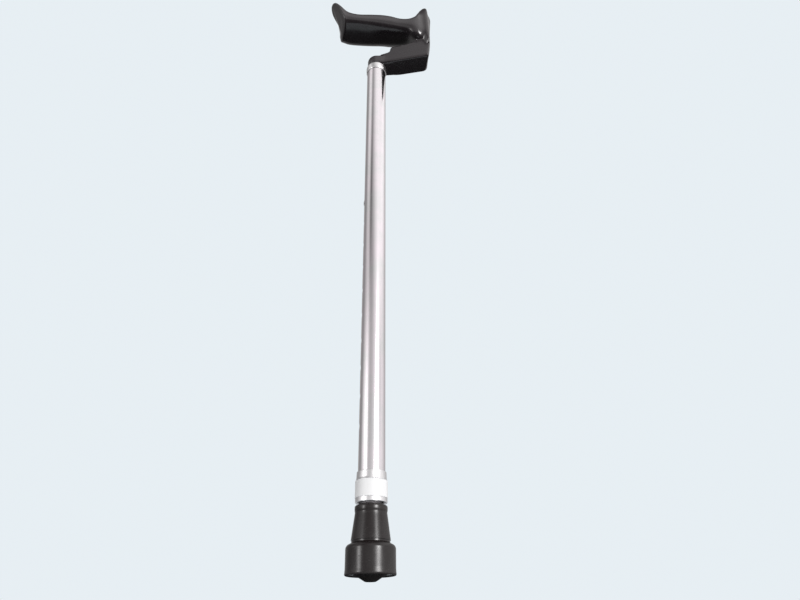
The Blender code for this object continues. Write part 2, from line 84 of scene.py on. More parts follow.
class Graph:
    """A node tree under construction."""

    def __init__(self, tree: Tree) -> None:
        """Take an empty or a fresh node tree."""
        self.tree = tree

    def link(self, output: Socket, node: Node, name: str | int) -> None:
        """Link an output to one of a node's inputs."""
        self.tree.links.new(output, node.inputs[name])

    def add(self, kind: str, inputs: dict | None = None, **settings) -> Node:
        """Add a node.

        Args:
            kind: the node's type name.
            inputs: socket name or number to a value, or to an output that it is linked to.
            settings: the node's own properties.

        Returns:
            The new node.
        """
        node = self.tree.nodes.new(kind)
        for name, value in settings.items():
            setattr(node, name, value)
        for key, value in (inputs or {}).items():
            if isinstance(value, Socket):
                self.link(value, node, key)
            else:
                node.inputs[key].default_value = value
        return node

    def math(self, operation: str, *values, clamp: bool = False) -> Socket:
        """Return the result of a Math node over sockets or numbers."""
        inputs = dict(enumerate(values))
        return self.add("ShaderNodeMath", inputs, operation=operation, use_clamp=clamp).outputs[0]

    def total(self, base: float | Socket, *parts: tuple[Socket, float]) -> Socket:
        """Return a number with a share of each part added to it."""
        for part, share in parts:
            base = self.math("MULTIPLY_ADD", part, share, base)
        return base

    def fit(self, value: Socket, low: float, high: float, to_low: float = 0.0,
            to_high: float = 1.0) -> Socket:
        """Return a value mapped smoothly from one range to another, and held at its ends."""
        inputs = {"Value": value, "From Min": low, "From Max": high, "To Min": to_low,
                  "To Max": to_high}
        node = self.add("ShaderNodeMapRange", inputs, interpolation_type="SMOOTHSTEP")
        return node.outputs["Result"]

    def blend(self, factor: Socket, first: Colour | Socket, second: Colour | Socket) -> Socket:
        """Return two colours mixed by a factor."""
        node = self.add("ShaderNodeMix", {"Factor": factor}, data_type="RGBA")
        for name, value in (("A", first), ("B", second)):
            socket = [s for s in node.inputs if s.name == name and s.type == "RGBA"][0]
            if isinstance(value, Socket):
                self.tree.links.new(value, socket)
            else:
                socket.default_value = (*value, 1.0)
        return [s for s in node.outputs if s.type == "RGBA"][0]

    def noise(self, place: Socket, scale: float | Socket, detail: float,
              roughness: float = 0.5) -> Socket:
        """Return a noise that runs over a place."""
        inputs = {"Vector": place, "Scale": scale, "Detail": detail, "Roughness": roughness}
        return self.add("ShaderNodeTexNoise", inputs).outputs[0]

    def split(self, place: Socket) -> bpy.types.NodeOutputs:
        """Return a place's X, Y and Z."""
        return self.add("ShaderNodeSeparateXYZ", {0: place}).outputs

    def join(self, **parts: Socket) -> Socket:
        """Return a place made of its X, Y and Z, where one left out is 0."""
        return self.add("ShaderNodeCombineXYZ", parts).outputs[0]

    def group(self, tree: Tree, place: Socket, **numbers: float) -> bpy.types.NodeOutputs:
        """Return the outputs of a placed group, with its own numbers (underscores for spaces)."""
        node = self.add("ShaderNodeGroup", node_tree=tree)
        self.link(place, node, "Place")
        for name, value in numbers.items():
            node.inputs[name.replace("_", " ")].default_value = value
        return node.outputs

    def bump(self, shader: Node, height: Socket, depth: float) -> None:
        """Give a shader a bump of a real depth in metres."""
        node = self.add("ShaderNodeBump", {"Height": height, "Strength": 1.0, "Distance": depth})
        self.link(node.outputs[0], shader, "Normal")


def shader_group(name: str, inputs: dict[str, float], outputs: list[str]) -> tuple:
    """Start a shader node group that reads a place and some numbers, and puts out numbers.

    Args:
        name: the group's name.
        inputs: each number's name and default.
        outputs: the names of what it puts out.

    Returns:
        The graph, what it is given and its output node.
    """
    tree = bpy.data.node_groups.new(name, "ShaderNodeTree")
    tree.interface.new_socket("Place", in_out="INPUT", socket_type="NodeSocketVector")
    for label, value in inputs.items():
        socket = tree.interface.new_socket(label, in_out="INPUT", socket_type="NodeSocketFloat")
        socket.default_value = value
    for label in outputs:
        tree.interface.new_socket(label, in_out="OUTPUT", socket_type="NodeSocketFloat")
    graph = Graph(tree)
    return graph, graph.add("NodeGroupInput").outputs, graph.add("NodeGroupOutput")


def moulded_grain_group() -> Tree:
    """Return the group for a moulding's fine uneven skin: its height and its blotches."""
    graph, given, out = shader_group("moulded_grain", {"Grain Scale": 900.0, "Swell Scale": 60.0},
                                     ["Height", "Blotch"])
    fine = graph.noise(given["Place"], given["Grain Scale"], 3.0, 0.6)
    swell = graph.noise(given["Place"], given["Swell Scale"], 2.0)
    graph.link(graph.total(swell, (fine, 0.35)), out, "Height")
    graph.link(graph.fit(swell, 0.3, 0.7), out, "Blotch")
    return graph.tree


def drawn_lines_group() -> Tree:
    """Return the group for the fine lines that drawing and polishing leave along a tube."""
    graph, given, out = shader_group("drawn_lines", {"Line Scale": 900.0, "Stretch": 0.02},
                                     ["Lines", "Cloud"])
    split = graph.split(given["Place"])
    along = graph.math("MULTIPLY", split["Z"], given["Stretch"])
    place = graph.join(X=split["X"], Y=split["Y"], Z=along)
    lines = graph.noise(place, given["Line Scale"], 5.0, 0.65)
    cloud = graph.noise(given["Place"], 45.0, 3.0, 0.55)
    graph.link(graph.fit(lines, 0.25, 0.75), out, "Lines")
    graph.link(graph.fit(cloud, 0.35, 0.7), out, "Cloud")
    return graph.tree


def handling_marks_group() -> Tree:
    """Return the group for hair scratches in two directions, as a mask from 0 to 1."""
    graph, given, out = shader_group("handling_marks", {"Mark Scale": 60.0, "Rarity": 0.5},
                                     ["Scratches"])
    masks = []
    for turn in ((0.3, 1.1, 0.4), (1.2, 0.2, 2.0)):
        spun = graph.add("ShaderNodeMapping", {
            "Vector": given["Place"], "Rotation": turn, "Scale": (1.0, 1.0, 14.0)}).outputs[0]
        cells = graph.add("ShaderNodeTexVoronoi", {
            "Vector": spun, "Scale": given["Mark Scale"]}, feature="DISTANCE_TO_EDGE")
        hair = graph.fit(cells.outputs["Distance"], 0.0, 0.022, 1.0, 0.0)
        rare = graph.math("GREATER_THAN", graph.noise(spun, 22.0, 1.0), given["Rarity"])
        masks.append(graph.math("MULTIPLY", hair, rare))
    graph.link(graph.math("MAXIMUM", *masks), out, "Scratches")
    return graph.tree


def settled_dust_group() -> Tree:
    """Return the group for thin uneven dust, as a mask from 0 to 1."""
    graph, given, out = shader_group("settled_dust", {"Cover": 0.5}, ["Dust"])
    cloud = graph.fit(graph.noise(given["Place"], 55.0, 5.0, 0.7), 0.42, 0.72)
    grains = graph.fit(graph.noise(given["Place"], 1400.0, 2.0, 0.7), 0.45, 0.75)
    film = graph.math("MULTIPLY", cloud, graph.math("MULTIPLY_ADD", grains, 0.7, 0.3))
    graph.link(graph.math("MULTIPLY", film, given["Cover"]), out, "Dust")
    return graph.tree


class Effects:
    """The shader groups that more than one finish uses, each built once."""

    def __init__(self) -> None:
        """Build the groups."""
        self.grain = moulded_grain_group()
        self.lines = drawn_lines_group()
        self.marks = handling_marks_group()
        self.dust = settled_dust_group()


def new_material(name: str, colour: Colour,
                 roughness: float) -> tuple[Material, Graph, Node, Socket]:
    """Return a new material, its graph, its shader and the place on the piece."""
    material = bpy.data.materials.new(name)
    material.use_nodes = True
    graph = Graph(material.node_tree)
    shader = material.node_tree.nodes["Principled BSDF"]
    shader.inputs["Base Color"].default_value = (*colour, 1.0)
    shader.inputs["Roughness"].default_value = roughness
    return material, graph, shader, graph.add("ShaderNodeTexCoord").outputs["Object"]


@dataclass(frozen=True)
class Finish:
    """What every finish has: a name, a colour and a roughness."""

    name: str
    colour: Colour
    roughness: float


@dataclass(frozen=True)
class TubeMetal(Finish):
    """Drawn metal, polished or plated, with lines along it and marks of use.

    Below a top height on the piece it is duller, and painted darker as painted shade in the gap
    between parts.
    """

    line_scale: float = 900.0
    line_share: float = 0.05
    mark_share: float = 0.12
    stretch: float = 0.02
    cloud_share: float = 0.6
    shade: Colour = (0.80, 0.79, 0.80)
    mark_scale: float = 38.0
    mark_rarity: float = 0.56
    scuff: Colour = (0.55, 0.55, 0.56)
    scuff_share: float = 0.10
    # colour of the painted shade below the top height, standing in for shade in the gap between
    # parts
    painted_gap_shade: Colour = (0.03, 0.028, 0.028)
    painted_gap_shade_share: float = 0.92
    painted_gap_shade_roughness: float = 0.5
    painted_gap_shade_top: float = 0.0
    painted_gap_shade_fade: Point = (-0.0007, 0.0001)
    line_depth: float = 0.0000012
    scratch_height: float = -0.6

    def build(self, effects: Effects) -> Material:
        """Return the metal's material."""
        material, graph, shader, place = new_material(self.name, self.colour, self.roughness)
        drawn = graph.group(effects.lines, place, Line_Scale=self.line_scale, Stretch=self.stretch)
        scratches = graph.group(effects.marks, place, Mark_Scale=self.mark_scale,
                                Rarity=self.mark_rarity)["Scratches"]
        colour = graph.blend(drawn["Cloud"], self.colour, self.shade)
        colour = graph.blend(graph.math("MULTIPLY", scratches, self.scuff_share), colour,
                             self.scuff)
        # painted shade: below the top height the colour is darkened and the roughness raised, as
        # shade in the gap between parts
        low, high = (self.painted_gap_shade_top + offset for offset in self.painted_gap_shade_fade)
        painted_gap_shade = graph.fit(graph.split(place)["Z"], low, high, self.painted_gap_shade_share, 0.0)
        graph.link(graph.blend(painted_gap_shade, colour, self.painted_gap_shade), shader, "Base Color")
        rough = graph.total(self.roughness, (drawn["Lines"], self.line_share),
                            (painted_gap_shade, self.painted_gap_shade_roughness),
                            (drawn["Cloud"], self.line_share * self.cloud_share),
                            (scratches, self.mark_share))
        graph.link(rough, shader, "Roughness")
        shader.inputs["Metallic"].default_value = 1.0
        height = graph.total(drawn["Lines"], (scratches, self.scratch_height))
        graph.bump(shader, height, self.line_depth)
        return material


@dataclass(frozen=True)
class Moulding(Finish):
    """A smooth black or white moulding with a fine skin, scuffs and a little dust.

    Below matt_below, a height on the piece, it is matt.
    """

    worn: Colour = (0.05, 0.048, 0.05)
    dust: Colour = (0.30, 0.29, 0.28)
    cover: float = 0.10
    grain_scale: float = 700.0
    swell_scale: float = 70.0
    grain_depth: float = 0.000012
    blotch_share: float = 0.06
    mark_scale: float = 46.0
    mark_rarity: float = 0.61
    mark_share: float = 0.20
    scuff_share: float = 0.14
    specular: float = 0.5
    matt_below: float = -1.0
    matt_fade: float = 0.0008
    matt_share: float = 0.72
    scratch_height: float = -0.3

    def build(self, effects: Effects) -> Material:
        """Return the moulding's material."""
        material, graph, shader, place = new_material(self.name, self.colour, self.roughness)
        grain = graph.group(effects.grain, place, Grain_Scale=self.grain_scale,
                            Swell_Scale=self.swell_scale)
        scratches = graph.group(effects.marks, place, Mark_Scale=self.mark_scale,
                                Rarity=self.mark_rarity)["Scratches"]
        dust = graph.group(effects.dust, place, Cover=self.cover)["Dust"]
        colour = graph.blend(graph.math("MULTIPLY", scratches, self.scuff_share), self.colour,
                             self.worn)
        graph.link(graph.blend(dust, colour, self.dust), shader, "Base Color")
        rough = graph.total(self.roughness, (grain["Blotch"], self.blotch_share),
                            (scratches, self.mark_share))
        matt = graph.fit(graph.split(place)["Z"], self.matt_below,
                         self.matt_below + self.matt_fade, self.matt_share, 0.0)
        for part in (dust, matt):
            rough = graph.math("ADD", rough, part, clamp=True)
        graph.link(rough, shader, "Roughness")
        shader.inputs["Specular IOR Level"].default_value = self.specular
        height = graph.total(grain["Height"], (scratches, self.scratch_height))
        graph.bump(shader, height, self.grain_depth)
        return material


class Wardrobe:
    """Every finish of the stick, built once."""

    def __init__(self) -> None:
        """Build the materials."""
        effects = Effects()
        # the aluminium gets painted shade below the lock nut's bottom, in the gap above the rubber
        # foot
        self.aluminium = TubeMetal(
            "polished_aluminium", (0.885, 0.82, 0.86), 0.09, painted_gap_shade_top=0.0560).build(effects)
        self.trim = TubeMetal(
            "plated_trim", (0.96, 0.945, 0.955), 0.28, 1200.0, 0.03, 0.08).build(effects)
        self.steel = TubeMetal(
            "spring_steel", (0.56, 0.56, 0.57), 0.28, 700.0, 0.12, 0.10,
            shade=(0.46, 0.455, 0.45)).build(effects)
        self.black = Moulding(
            "gloss_black_moulding", (0.022, 0.017, 0.020), 0.16, cover=0.05,
            specular=0.74).build(effects)
        self.rubber = Moulding(
            "satin_black_rubber", (0.010, 0.007, 0.007), 0.18, worn=(0.06, 0.058, 0.058),
            cover=0.05, grain_scale=900.0, grain_depth=0.000008, blotch_share=0.08,
            matt_below=0.0045).build(effects)
        self.nylon = Moulding(
            "white_nylon", (0.82, 0.815, 0.815), 0.40, worn=(0.62, 0.61, 0.59),
            dust=(0.55, 0.54, 0.51), grain_depth=0.00001).build(effects)


def new_object(name: str, data: bpy.types.ID) -> Item:
    """Return a new object in the scene."""
    item = bpy.data.objects.new(name, data)
    bpy.context.scene.collection.objects.link(item)
    return item


def bake(item: Item) -> None:
    """Turn an object's modifiers into plain mesh."""
    graph = bpy.context.evaluated_depsgraph_get()
    mesh = bpy.data.meshes.new_from_object(item.evaluated_get(graph))
    item.modifiers.clear()
    item.data = mesh


def from_bmesh(name: str, form: bmesh.types.BMesh) -> Mesh:
    """Return a bmesh as a mesh, and free it."""
    mesh = bpy.data.meshes.new(name)
    form.to_mesh(mesh)
    form.free()
    return mesh


def arc(centre: Point, radius: float, start: float, end: float, count: int) -> list[Point]:
    """Return points on an arc, with the angles in degrees."""
    angles = [radians(start + (end - start) * i / (count - 1)) for i in range(count)]
    return [(centre[0] + radius * cos(a), centre[1] + radius * sin(a)) for a in angles]


def rounded_corner(before: Point, here: Point, after: Point, size: float, most: float,
                   steps: int) -> list[Point]:
    """Round one corner.

    Args:
        before: the point before the corner.
        here: the corner.
        after: the point after it.
        size: the length that the rounding takes off each side.
        most: the largest share of a side that it may take.
        steps: how many points the rounding has.

    Returns:
        The points that take the corner's place.
    """
    corner = Vector(here)
    back, ahead = Vector(before) - corner, Vector(after) - corner
    first = corner + back.normalized() * min(size, back.length * most)
    last = corner + ahead.normalized() * min(size, ahead.length * most)
    points = []
    for step in range(steps):
        t = step / (steps - 1)
        points.append(tuple(first * (1 - t) ** 2 + corner * 2 * t * (1 - t) + last * t ** 2))
    return points


def rounded_profile(points: list[Point], sizes: dict[int, float], steps: int) -> list[Point]:
    """Return a closed profile with some corners rounded, by corner number and size."""
    result = []
    for index, here in enumerate(points):
        after = points[(index + 1) % len(points)]
        result += (rounded_corner(points[index - 1], here, after, sizes[index], 0.49, steps)
                   if index in sizes else [here])
    return result


def rounded_line(points: list[Point], reach: float, steps: int = 8) -> list[Point]:
    """Return an open outline with its inner corners rounded, each up to a reach."""
    result = [points[0]]
    for before, here, after in zip(points, points[1:], points[2:]):
        result += rounded_corner(before, here, after, reach, 0.5, steps)
    return result + [points[-1]]


def held_profile(points: list[Point], closed: bool, hold: float = 0.25,
                 long: float = 4.0) -> list[Point]:
    """Return a profile with points near both ends of its long runs, so they shade straight."""
    result = []
    after = points[1:] + (points[:1] if closed else [])
    for here, there in zip(points, after):
        result.append(here)
        run = Vector(there) - Vector(here)
        if run.length > long:
            step = run.normalized() * hold
            result += [tuple(Vector(here) + step), tuple(Vector(there) - step)]
    return result + ([] if closed else points[-1:])


def shade(mesh: Mesh) -> None:
    """Shade a mesh smooth, apart from its sharp edges."""
    mesh.shade_smooth()
    mesh.set_sharp_from_angle(angle=SHARP_ANGLE)


def turned_mesh(name: str, profile_mm: list[Point], steps: int, closed: bool = True) -> Mesh:
    """Turn a profile about Z.

    Args:
        name: the mesh's name.
        profile_mm: the profile as (radius, z) in millimetres, down the outside first.
        steps: how many sides the turning has.
        closed: whether the profile's ends meet. An open one starts and ends on the axis.

    Returns:
        A closed mesh with its faces outwards.
    """
    form = bmesh.new()
    rows = []
    for radius, z in held_profile(profile_mm, closed):
        if radius < ON_AXIS_MM:
            rows.append([form.verts.new((0.0, 0.0, z * MM))] * steps)
            continue
        angles = [2 * pi * step / steps for step in range(steps)]
        rows.append([form.verts.new((radius * MM * cos(a), radius * MM * sin(a), z * MM))
                     for a in angles])
    pairs = list(zip(rows, rows[1:]))
    if closed:
        pairs.append((rows[-1], rows[0]))
    for upper, lower in pairs:
        for step in range(steps):
            after = (step + 1) % steps
            corners = dict.fromkeys((upper[step], lower[step], lower[after], upper[after]))
            if len(corners) > 2:
                form.faces.new(list(corners))
    bmesh.ops.recalc_face_normals(form, faces=form.faces)
    mesh = from_bmesh(name, form)
    shade(mesh)
    return mesh


def turned_object(name: str, profile_mm: list[Point], steps: int = 128,
                  closed: bool = True) -> Item:
    """Return a new object turned about Z, as turned_mesh makes it."""
    return new_object(name, turned_mesh(name, profile_mm, steps, closed))


def finish_piece(item: Item, material: Material, body: Body, slot: Slot, *nodes: str) -> None:
    """Dress a finished piece, give it its body and hide the nodes that it replaces."""
    item.data.materials.clear()
    item.data.materials.append(material)
    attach(item, body.value)
    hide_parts(*nodes)
    log.info("%s replaces %s, %d faces", item.name, ", ".join(nodes), len(item.data.polygons))


def dress_node(name: str, material: Material) -> None:
    """Give a node of the frame a better material in its own slots."""
    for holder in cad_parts[name].material_slots:
        holder.material = material
    log.info("%s keeps its solid in %s", name, material.name)


@dataclass
class GripShape:
    """The palm grip's unlike sections and the smooth skin through them.

    A station is one section's x, its near and far side, bottom and top, how much it leans and
    twists along x with height, how far its top bows back, how far its near underside droops,
    and how square it is. The low near edge is squarer by edge.
    """

    stations: tuple = (
        (-48, -27.5, 5, 626, 659.4, -0.21, 0.011, 6, 0, 2.4),
        (-46.4, -30.9, 8.5, 621.5, 663.8, -0.21, 0.011, 6.5, 0, 2.8),
        (-43, -30.5, 10, 620.5, 661.5, -0.17, 0.009, 3.5, 0, 2.6),
        (-36, -29.5, 11, 620.5, 648, -0.08, 0.004, 1, 0, 2.4),
        (-24, -29, 11, 620, 643, 0, 0, 0, 0, 2.3),
        (-8, -28.5, 11, 619, 644.5, 0, 0, 0, 0, 2.3),
        (6, -28.5, 10.5, 618.5, 644.5, 0, 0, 0, 2, 2.3),
        (17, -28.5, 10.5, 618, 642, 0, 0, 0, 4, 2.3),
        (28, -28.5, 9.5, 617.5, 637, 0.05, 0, 0, 6, 2.3),
        (38, -29.5, 8.5, 616.5, 635.5, 0.08, 0, 0, 9, 2.3),
        (45.5, -30.5, 7, 614, 640, 0.06, 0, 0, 14, 2.3),
        (50.5, -30, 6, 607, 649.5, 0, 0, 0, 9, 2.5),
        (54.8, -27.4, 6, 598, 658.4, -0.06, 0, 0, 0, 2.8),
        (58, -27.6, 5.4, 592.5, 662.8, -0.04, 0, 0, 0, 3),
        (60.6, -28.3, 4.3, 588, 664, -0.025, 0, 0, 0, 3.1),
        (63.2, -27.8, 2.6, 587, 662.4, -0.02, 0, 0, 0, 3.1),
        (64.6, -24, 0, 591, 655.5, -0.02, 0, 0, 0, 2.7),
    )
    edge: float = 1.0
    steps: int = 6
    sides: int = 72

    def smooth_stations(self) -> list[list[float]]:
        """Return the stations with smooth ones worked out between them."""
        rows = self.stations
        result = []
        for index in range(len(rows) - 1):
            near = [rows[max(index - 1, 0)], rows[index], rows[index + 1],
                    rows[min(index + 2, len(rows) - 1)]]
            for step in range(self.steps):
                t = step / self.steps
                row = []
                for a, b, c, d in zip(*near):
                    curve = 2 * b + (c - a) * t
                    curve += (2 * a - 5 * b + 4 * c - d) * t ** 2
                    curve += (3 * b - a - 3 * c + d) * t ** 3
                    row.append(curve / 2)
                result.append(row)
        result.append(list(rows[-1]))
        return result

    def ring(self, station: list[float]) -> list[Vector]:
        """Return the points of one rounded section, in metres."""
        x, near, far, bottom, top, lean, twist, bow, droop, squareness = station
        half_y, half_z = (far - near) / 2, (top - bottom) / 2
        points = []
        for side in range(self.sides):
            angle = 2 * pi * side / self.sides
            low_near = sin(angle) < 0 and cos(angle) < 0
            power = 2 / (squareness + (self.edge if low_near else 0.0))
            share = copysign(abs(cos(angle)) ** power, cos(angle))
            rise = copysign(abs(sin(angle)) ** power, sin(angle))
            across, up = half_y * share, half_z * rise
            shift = lean * up + twist * across * up
            shift -= bow * (1 - share ** 2) * max(rise, 0.0)
            sag = droop * (0.5 - 0.5 * share) * max(-rise, 0.0)
            place = (x + shift, (near + far) / 2 + across, (bottom + top) / 2 + up - sag)
            points.append(Vector(place) * MM)
        return points

    def add_to(self, form: bmesh.types.BMesh) -> None:
        """Loft the grip into a bmesh as one closed shell."""
        rings = [[form.verts.new(point) for point in self.ring(row)]
                 for row in self.smooth_stations()]
        faces = []
        for first, second in zip(rings, rings[1:]):
            for side in range(self.sides):
                after = (side + 1) % self.sides
                faces.append(form.faces.new((first[side], first[after], second[after],
                                             second[side])))
        faces.append(form.faces.new(rings[0][::-1]))
        faces.append(form.faces.new(rings[-1]))
        bmesh.ops.recalc_face_normals(form, faces=faces)


class MeshNet:
    """A mesh's vertices and edges as arrays, to be smoothed."""

    shares = (0.5, -0.52)

    def __init__(self, mesh: Mesh) -> None:
        """Read the mesh."""
        self.mesh = mesh
        spots = np.empty(len(mesh.vertices) * 3)
        mesh.vertices.foreach_get("co", spots)
        self.spots = spots.reshape(-1, 3)
        edges = np.empty(len(mesh.edges) * 2, dtype=np.int64)
        mesh.edges.foreach_get("vertices", edges)
        self.degree = np.bincount(edges, minlength=len(self.spots)).astype(float)
        self.edges = edges.reshape(-1, 2)

    def way(self) -> np.ndarray:
        """Return the way from each vertex to the mean of its neighbours."""
        first, second = self.edges.T
        count = len(self.spots)
        total = np.empty_like(self.spots)
        for axis in range(3):
            total[:, axis] = np.bincount(first, self.spots[second, axis], count)
            total[:, axis] += np.bincount(second, self.spots[first, axis], count)
        return total / self.degree[:, None] - self.spots

    def smooth(self, rounds: int) -> None:
        """Take small steps off the skin without making it shrink."""
        for _ in range(rounds):
            for share in self.shares:
                self.spots += share * self.way()

    def fill(self, rounds: int, refresh: int) -> None:
        """Raise the sharp inner corners to soft fillets, with normals read now and then."""
        normals = np.empty(self.spots.size)
        for number in range(rounds):
            if number % refresh == 0:
                self.write()
                self.mesh.vertex_normals.foreach_get("vector", normals)
                outward = normals.reshape(-1, 3)
            lift = (self.way() * outward).sum(axis=1)
            self.spots += 0.5 * np.clip(lift, 0.0, None)[:, None] * outward

    def write(self) -> None:
        """Put the vertices back into the mesh."""
        self.mesh.vertices.foreach_set("co", self.spots.ravel())
        self.mesh.update()


@dataclass
class PalmHandle:
    """The moulded handle: palm grip, web, arm and spigot."""

    wardrobe: Wardrobe
    grip: GripShape = field(default_factory=GripShape)
    underside: float = 0.5690
    arm_height: float = 0.0144
    yaw: float = radians(13.3)
    thickness: float = 0.0233
    front: float = -0.0087
    length: float = 0.0670
    recess: float = 0.0057
    boss_radius: float = 0.0107
    rounding: float = 0.0028
    web_rounding: float = 0.0013
    web_inset: float = 0.0006
    web_start: float = 0.0060
    taper_end: float = 0.0300
    taper_depth: float = 0.0034
    spigot_radius: float = 0.0096
    spigot_length: float = 0.045
    spacing: float = 0.0007
    voxel: float = 0.0007

    def plate_point(self, along: float, across: float) -> Point:
        """Return a plan point from its place along the arm and behind the front face."""
        depth = self.front + across
        return (along * cos(self.yaw) + depth * sin(self.yaw),
                -along * sin(self.yaw) + depth * cos(self.yaw))

    def arm_plan(self) -> list[Point]:
        """Return the arm's outline seen from above."""
        end = self.length - self.recess
        back = [(end, self.thickness - 0.0050), (end - 0.0020, self.thickness - 0.0015),
                (end - 0.0060, self.thickness), (self.taper_end, self.thickness)]
        plan = arc((0.0, 0.0), self.boss_radius, 90, 270, 40)
        plan += [self.plate_point(0.0118, 0.0), self.plate_point(self.length, 0.0)]
        plan += [self.plate_point(*spot) for spot in back]
        return plan + [(0.0030, self.boss_radius)]

    def web_outline(self) -> list[Point]:
        """Return the web's outline along the arm and up."""
        foot, length, start = self.underside, self.length, self.web_start
        end = [(start, foot + 0.0040), (0.0200, foot), (length - 0.0008, foot),
               (length + 0.0010, 0.5920), (length + 0.0038, 0.6380),
               (0.0650, 0.6540), (0.0590, 0.6540), (0.0540, 0.6440), (0.0450, 0.6300)]
        slot_end = arc((0.0428, 0.6078), 0.0097, 60, -76, 22)
        gap_side = [slot_end[-1], (0.0314, 0.5958), (0.0226, 0.5962), (0.0190, 0.5950),
                    (0.0180, 0.5876), (0.0125, 0.5864), (start, 0.5852)]
        outline = rounded_line(end, 0.0060) + slot_end[:-1] + rounded_line(gap_side, 0.0030)
        spaced = [outline[0]]
        for spot in outline[1:]:
            if dist(spot, spaced[-1]) > self.spacing:
                spaced.append(spot)
        return spaced

    @staticmethod
    def plate(name: str, outline: list[Point], thickness: float, rounding: float,
              clamped: bool) -> Item:
        """Return a flat outline in XY, thickened both ways along Z, with rounded edges."""
        form = bmesh.new()
        low, high = ([form.verts.new((x, y, side * thickness / 2)) for x, y in outline]
                     for side in (-1, 1))
        for index in range(len(outline)):
            after = (index + 1) % len(outline)
            form.faces.new((low[index], low[after], high[after], high[index]))
        form.faces.new(low[::-1])
        form.faces.new(high)
        bmesh.ops.recalc_face_normals(form, faces=form.faces)
        item = new_object(name, from_bmesh(name, form))
        bevel = item.modifiers.new("rounding", "BEVEL")
        bevel.width = rounding
        bevel.use_clamp_overlap = clamped
        bevel.segments = 5
        bevel.limit_method = "ANGLE"
        bevel.angle_limit = radians(50)
        return item

    def shell(self) -> Mesh:
        """Return the grip, web and arm grown together with soft fillets."""
        arm = self.plate("arm", self.arm_plan(), self.arm_height, self.rounding, True)
        arm.location.z = self.underside + self.arm_height / 2
        web = self.plate("web", self.web_outline(), self.thickness - self.web_inset,
                         self.web_rounding, False)
        for vertex in web.data.vertices:
            if vertex.co.z < 0 and vertex.co.x > self.length / 2:
                vertex.co.x -= self.recess
            elif vertex.co.z < 0:
                vertex.co.z += self.taper_depth * max(1.0 - vertex.co.x / self.taper_end, 0.0)
        middle = self.plate_point(0.0, self.thickness / 2)
        web.rotation_euler = (pi / 2, 0.0, -self.yaw)
        web.location = (middle[0], middle[1], 0.0)
        form = bmesh.new()
        for item in (arm, web):
            bpy.context.view_layer.update()
            place = item.matrix_world.copy()
            bake(item)
            item.data.transform(place)
            form.from_mesh(item.data)
            bpy.data.objects.remove(item)
        self.grip.add_to(form)
        whole = new_object("handle_shell", from_bmesh("handle_shell", form))
        remesh = whole.modifiers.new("skin", "REMESH")
        remesh.mode = "VOXEL"
        remesh.voxel_size = self.voxel
        bake(whole)
        mesh = whole.data
        bpy.data.objects.remove(whole)
        return mesh

    def add_spigot(self, mesh: Mesh) -> None:
        """Add the round stem that fills the tube's top."""
        top = (self.underside + self.arm_height - 0.004) / MM
        end = (self.underside - self.spigot_length) / MM
        radius = self.spigot_radius / MM
        profile = [(0.0, top), (radius, top), (radius, end + 1.0), (radius - 1.0, end), (0.0, end)]
        stem = turned_mesh("spigot", profile, 64, closed=False)
        form = bmesh.new()
        form.from_mesh(mesh)
        form.from_mesh(stem)
        form.to_mesh(mesh)
        form.free()

    def build(self) -> None:
        """Build and dress the handle."""
        mesh = self.shell()
        net = MeshNet(mesh)
        net.smooth(rounds=24)
        net.fill(rounds=60, refresh=6)
        net.smooth(rounds=6)
        net.write()
        mesh.shade_smooth()
        self.add_spigot(mesh)
        item = new_object("palm_handle", mesh)
        finish_piece(item, self.wardrobe.black, Body.UPPER, Slot.BLACK_PLASTIC, "handle")


def hole_row_tree(sides: int = 40, flare: float = 0.0006, taper: float = 0.0004,
                  depth: float = 0.0010, sunk: float = 0.00055) -> Tree:
    """Return the tree that drills a row of countersunk holes in a tube's left side.

    The countersink is a cone, wider than the hole by flare outside and slimmer by taper inside.
    """
    tree = bpy.data.node_groups.new("height_hole_row", "GeometryNodeTree")
    for label, kind in (("Tube", "Geometry"), ("Count", "Int"), ("Pitch", "Float"),
                        ("Top", "Float"), ("Radius", "Float"), ("Tube Radius", "Float"),
                        ("Finish", "Material")):
        tree.interface.new_socket(label, in_out="INPUT", socket_type=f"NodeSocket{kind}")
    tree.interface.new_socket("Tube", in_out="OUTPUT", socket_type="NodeSocketGeometry")
    graph = Graph(tree)
    given = graph.add("NodeGroupInput").outputs
    first = graph.join(X=graph.math("MULTIPLY", given["Tube Radius"], -1.0), Z=given["Top"])
    step = graph.join(Z=graph.math("MULTIPLY", given["Pitch"], -1.0))
    line = graph.add("GeometryNodeMeshLine", {
        "Count": given["Count"], "Start Location": first, "Offset": step}, mode="OFFSET")
    drill = graph.add("GeometryNodeMeshCylinder", {
        "Vertices": sides, "Radius": given["Radius"], "Depth": given["Tube Radius"]})
    sink = graph.add("GeometryNodeMeshCone", {
        "Vertices": sides, "Radius Top": graph.math("ADD", given["Radius"], flare),
        "Radius Bottom": graph.math("SUBTRACT", given["Radius"], taper), "Depth": depth})
    seated = graph.add("GeometryNodeTransform", {
        "Geometry": sink.outputs["Mesh"], "Translation": (0.0, 0.0, -sunk)})
    cut = graph.add("GeometryNodeMeshBoolean", {"Mesh 1": given["Tube"]}, operation="DIFFERENCE",
                    solver="EXACT")
    for tool in (drill.outputs["Mesh"], seated.outputs[0]):
        placed = graph.add("GeometryNodeInstanceOnPoints", {
            "Points": line.outputs[0], "Instance": tool, "Rotation": (0.0, -pi / 2, 0.0)})
        real = graph.add("GeometryNodeRealizeInstances", {0: placed.outputs[0]})
        graph.link(real.outputs[0], cut, "Mesh 2")
    plain = graph.add("GeometryNodeRealizeInstances", {0: cut.outputs["Mesh"]})
    dressed = graph.add("GeometryNodeSetMaterial", {
        "Geometry": plain.outputs[0], "Material": given["Finish"]})
    graph.link(dressed.outputs[0], graph.add("NodeGroupOutput"), 0)
    return tree


